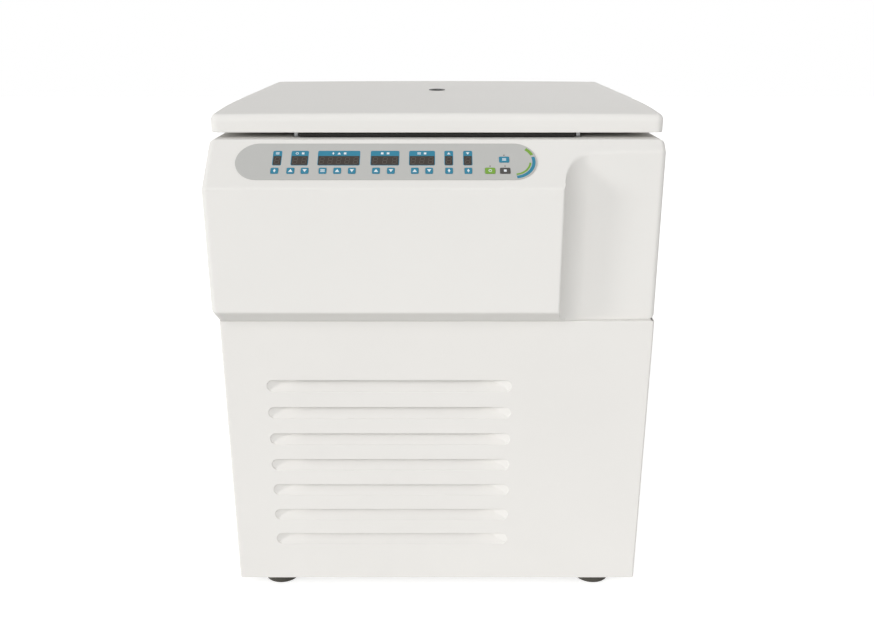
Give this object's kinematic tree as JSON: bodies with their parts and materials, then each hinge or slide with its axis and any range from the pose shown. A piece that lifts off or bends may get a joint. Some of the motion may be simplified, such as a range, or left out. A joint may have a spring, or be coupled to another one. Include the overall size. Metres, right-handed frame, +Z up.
{
  "type": "low-speed centrifuge",
  "caption": "Floor-standing refrigerated low-speed centrifuge with hinged lid, swing-out bucket rotor, sloped key panel and louvred cabinet.",
  "frame": {"origin": "on the floor, under the middle of the overall box", "axes": "+Z up, +Y to the rear, +X to the right seen from the front"},
  "size_m": [0.664, 0.7, 0.79],
  "materials": {
    "white_paint": "satin powder coat",
    "white_moulding": "fine satin moulding",
    "inner_paint": "light grey paint",
    "stainless": "brushed",
    "zinc_steel": "zinc plated",
    "cast_aluminium": "satin cast",
    "bucket_steel": "satin turned",
    "black_rubber": "matt",
    "dark_foot": "matt",
    "black_paint": "satin black paint",
    "black_casing": "black enamel on a motor or compressor casing",
    "copper": "drawn copper tube",
    "foam": "rigid foam",
    "panel_grey": "printed film",
    "teal_key": "printed film key",
    "green_key": "printed film key",
    "grey_key": "printed film key",
    "board_green": "circuit board",
    "black_plastic": "satin",
    "clear_glass": "clear"
  },
  "bodies": {
    "root": {"cabinet_wrap": "white_paint", "rear_panel": "white_paint", "upper_housing": "white_paint", "fascia": "white_moulding", "hinge_shaft": "stainless", "chamber_bowl": "stainless", "base_plate": "zinc_steel", "hinge_bracket": "zinc_steel", "motor_plate": "zinc_steel", "condenser_core": "cast_aluminium", "drive_electronics": "cast_aluminium", "chamber_gasket": "black_rubber", "motor_isolator": "black_rubber", "foot_front_left": "dark_foot", "foot_front_right": "dark_foot", "foot_rear_left": "dark_foot", "foot_rear_right": "dark_foot", "lock_unit": "black_paint", "fan_shroud": "black_paint", "drive_motor": "black_casing", "compressor": "black_casing", "evaporator_coil": "copper", "discharge_line": "copper", "chamber_insulation": "foam", "control_overlay": "panel_grey", "control_board": "board_green", "power_inlet": "black_plastic"},
    "lid": {"lid_shell": "white_moulding", "lid_liner": "inner_paint", "sight_bezel": "black_plastic", "sight_glass": "clear_glass", "lid_hinge_frame": "zinc_steel", "lid_striker_bar": "zinc_steel"},
    "rotor": {"drive_shaft": "stainless", "rotor_yoke": "cast_aluminium", "rotor_nut": "black_plastic"},
    "bucket_1": {"bucket_1": "bucket_steel"},
    "bucket_2": {"bucket_2": "bucket_steel"},
    "bucket_3": {"bucket_3": "bucket_steel"},
    "bucket_4": {"bucket_4": "bucket_steel"},
    "lock_bolt_left": {"lock_bolt_left": "stainless"},
    "lock_bolt_right": {"lock_bolt_right": "stainless"},
    "power_rocker": {"power_rocker": "grey_key"},
    "condenser_fan": {"condenser_fan": "black_plastic"},
    "key_program": {"key_program": "teal_key"},
    "key_rotor_up": {"key_rotor_up": "teal_key"},
    "key_rotor_down": {"key_rotor_down": "teal_key"},
    "key_force": {"key_force": "teal_key"},
    "key_speed_up": {"key_speed_up": "teal_key"},
    "key_speed_down": {"key_speed_down": "teal_key"},
    "key_time_up": {"key_time_up": "teal_key"},
    "key_time_down": {"key_time_down": "teal_key"},
    "key_temperature_up": {"key_temperature_up": "teal_key"},
    "key_temperature_down": {"key_temperature_down": "teal_key"},
    "key_acceleration": {"key_acceleration": "teal_key"},
    "key_brake": {"key_brake": "teal_key"},
    "key_start": {"key_start": "green_key"},
    "key_stop": {"key_stop": "grey_key"},
    "key_enter": {"key_enter": "teal_key"}
  },
  "joints": [
    {"name": "lid_hinge", "type": "hinge", "parent": "root", "child": "lid", "pos_m": [0, 0.333, 0.765], "axis": [-1, 0, 0], "range_deg": [0, 78]},
    {"name": "rotor_spin", "type": "hinge", "parent": "root", "child": "rotor", "pos_m": [0, 0.082, 0.6], "axis": [0, 0, 1], "continuous": true},
    {"name": "bucket_1_swing", "type": "hinge", "parent": "rotor", "child": "bucket_1", "pos_m": [0.093, 0.082, 0.665], "axis": [0, -1, 0], "range_deg": [0, 90]},
    {"name": "bucket_2_swing", "type": "hinge", "parent": "rotor", "child": "bucket_2", "pos_m": [0, 0.175, 0.665], "axis": [1, 0, 0], "range_deg": [0, 90]},
    {"name": "bucket_3_swing", "type": "hinge", "parent": "rotor", "child": "bucket_3", "pos_m": [-0.093, 0.082, 0.665], "axis": [0, 1, 0], "range_deg": [0, 90]},
    {"name": "bucket_4_swing", "type": "hinge", "parent": "rotor", "child": "bucket_4", "pos_m": [0, -0.011, 0.665], "axis": [-1, 0, 0], "range_deg": [0, 90]},
    {"name": "lock_bolt_left_slide", "type": "slide", "parent": "root", "child": "lock_bolt_left", "axis": [-1, 0, 0], "range_m": [0, 0.01], "stiffness_N_per_m": 200},
    {"name": "lock_bolt_right_slide", "type": "slide", "parent": "root", "child": "lock_bolt_right", "axis": [1, 0, 0], "range_m": [0, 0.01], "stiffness_N_per_m": 200},
    {"name": "power_rocker_tilt", "type": "hinge", "parent": "root", "child": "power_rocker", "pos_m": [0.233, 0.3455, 0.11], "axis": [-1, 0, 0], "range_deg": [0, 14]},
    {"name": "condenser_fan_spin", "type": "hinge", "parent": "root", "child": "condenser_fan", "pos_m": [-0.0745, -0.2328, 0.1873], "axis": [0, 1, 0], "continuous": true},
    {"name": "key_program_press", "type": "slide", "parent": "root", "child": "key_program", "axis": [0, 0.6554, -0.7553], "range_m": [0, 0.0005], "stiffness_N_per_m": 600},
    {"name": "key_rotor_up_press", "type": "slide", "parent": "root", "child": "key_rotor_up", "axis": [0, 0.6554, -0.7553], "range_m": [0, 0.0005], "stiffness_N_per_m": 600},
    {"name": "key_rotor_down_press", "type": "slide", "parent": "root", "child": "key_rotor_down", "axis": [0, 0.6554, -0.7553], "range_m": [0, 0.0005], "stiffness_N_per_m": 600},
    {"name": "key_force_press", "type": "slide", "parent": "root", "child": "key_force", "axis": [0, 0.6554, -0.7553], "range_m": [0, 0.0005], "stiffness_N_per_m": 600},
    {"name": "key_speed_up_press", "type": "slide", "parent": "root", "child": "key_speed_up", "axis": [0, 0.6554, -0.7553], "range_m": [0, 0.0005], "stiffness_N_per_m": 600},
    {"name": "key_speed_down_press", "type": "slide", "parent": "root", "child": "key_speed_down", "axis": [0, 0.6554, -0.7553], "range_m": [0, 0.0005], "stiffness_N_per_m": 600},
    {"name": "key_time_up_press", "type": "slide", "parent": "root", "child": "key_time_up", "axis": [0, 0.6554, -0.7553], "range_m": [0, 0.0005], "stiffness_N_per_m": 600},
    {"name": "key_time_down_press", "type": "slide", "parent": "root", "child": "key_time_down", "axis": [0, 0.6554, -0.7553], "range_m": [0, 0.0005], "stiffness_N_per_m": 600},
    {"name": "key_temperature_up_press", "type": "slide", "parent": "root", "child": "key_temperature_up", "axis": [0, 0.6554, -0.7553], "range_m": [0, 0.0005], "stiffness_N_per_m": 600},
    {"name": "key_temperature_down_press", "type": "slide", "parent": "root", "child": "key_temperature_down", "axis": [0, 0.6554, -0.7553], "range_m": [0, 0.0005], "stiffness_N_per_m": 600},
    {"name": "key_acceleration_press", "type": "slide", "parent": "root", "child": "key_acceleration", "axis": [0, 0.6554, -0.7553], "range_m": [0, 0.0005], "stiffness_N_per_m": 600},
    {"name": "key_brake_press", "type": "slide", "parent": "root", "child": "key_brake", "axis": [0, 0.6554, -0.7553], "range_m": [0, 0.0005], "stiffness_N_per_m": 600},
    {"name": "key_start_press", "type": "slide", "parent": "root", "child": "key_start", "axis": [0, 0.6554, -0.7553], "range_m": [0, 0.0005], "stiffness_N_per_m": 600},
    {"name": "key_stop_press", "type": "slide", "parent": "root", "child": "key_stop", "axis": [0, 0.6554, -0.7553], "range_m": [0, 0.0005], "stiffness_N_per_m": 600},
    {"name": "key_enter_press", "type": "slide", "parent": "root", "child": "key_enter", "axis": [0, 0.6554, -0.7553], "range_m": [0, 0.0005], "stiffness_N_per_m": 600}
  ]
}
